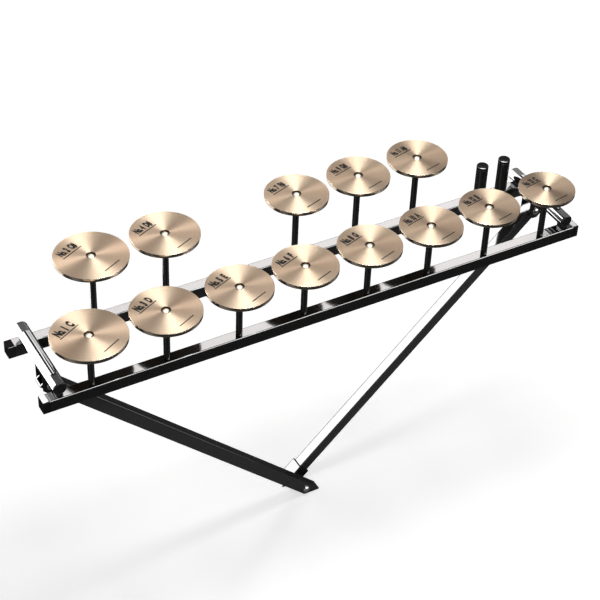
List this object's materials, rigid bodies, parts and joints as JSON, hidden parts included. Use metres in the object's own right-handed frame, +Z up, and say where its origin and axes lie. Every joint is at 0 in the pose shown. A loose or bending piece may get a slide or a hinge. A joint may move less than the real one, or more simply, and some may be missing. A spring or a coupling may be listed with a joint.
{
  "type": "crotales",
  "caption": "Chromatic set of tuned bronze discs on posts, in a front and a back row on a black tube frame, over the upper V of a folding stand with a telescoping leg",
  "frame": {"origin": "the pivot where the two stand legs cross, midway between the two rails", "axes": "+X along the rails from the low discs to the high ones, +Y from the front rail to the back rail, +Z up"},
  "size_m": [1.096, 0.2883, 0.6727],
  "materials": {
    "bronze": "lathe-turned cymbal bronze with fine concentric grooves",
    "brass": "polished",
    "paint": "gloss black enamel on steel tube",
    "steel": "bright zinc plate",
    "plastic": "black moulded plastic"
  },
  "bodies": {
    "frame": {"clevis_left": "paint", "clevis_right": "paint", "crossmember_left": "paint", "crossmember_right": "paint", "disc_a": "bronze", "disc_a_sharp": "bronze", "disc_b": "bronze", "disc_c_high": "bronze", "disc_c_low": "bronze", "disc_c_sharp": "bronze", "disc_d": "bronze", "disc_d_sharp": "bronze", "disc_e": "bronze", "disc_f": "bronze", "disc_f_sharp": "bronze", "disc_g": "bronze", "disc_g_sharp": "bronze", "hinge_pin_left": "steel", "hinge_pin_right": "steel", "nut_a": "brass", "nut_a_sharp": "brass", "nut_b": "brass", "nut_c_high": "brass", "nut_c_low": "brass", "nut_c_sharp": "brass", "nut_d": "brass", "nut_d_sharp": "brass", "nut_e": "brass", "nut_f": "brass", "nut_f_sharp": "brass", "nut_g": "brass", "nut_g_sharp": "brass", "post_a": "paint", "post_a_sharp": "paint", "post_b": "paint", "post_c_high": "paint", "post_c_low": "paint", "post_c_sharp": "paint", "post_d": "paint", "post_d_sharp": "paint", "post_e": "paint", "post_f": "paint", "post_f_sharp": "paint", "post_g": "paint", "post_g_sharp": "paint", "rail_back": "paint", "rail_cap_back_left": "plastic", "rail_cap_back_right": "plastic", "rail_cap_front_left": "plastic", "rail_cap_front_right": "plastic", "rail_front": "paint", "upright_left": "paint", "upright_plug_left": "plastic", "upright_plug_right": "plastic", "upright_right": "paint"},
    "left_leg": {"leg_left": "paint", "pivot_pin": "steel", "pivot_spacer": "plastic"},
    "right_leg": {"leg_right": "paint"},
    "sleeve": {"leg_sleeve": "paint"}
  },
  "joints": [
    {"name": "left_leg_fold", "type": "hinge", "parent": "frame", "child": "left_leg", "pos_m": [-0.519, -0.01555, 0.5], "axis": [0, 1, 0], "range_deg": [-43.93, 0]},
    {"name": "right_leg_fold", "type": "hinge", "parent": "frame", "child": "right_leg", "pos_m": [0.511, 0.0235, 0.5], "axis": [0, 1, 0], "range_deg": [0, 44.38]},
    {"name": "sleeve_slide", "type": "slide", "parent": "right_leg", "child": "sleeve", "axis": [0.7148, 0, 0.6994], "range_m": [0, 0.4056]}
  ],
  "couplings": [
    {"joint": "right_leg_fold", "follows": "left_leg_fold", "ratio": -1.0101},
    {"joint": "sleeve_slide", "follows": "left_leg_fold", "m_per_rad": -0.52898}
  ]
}
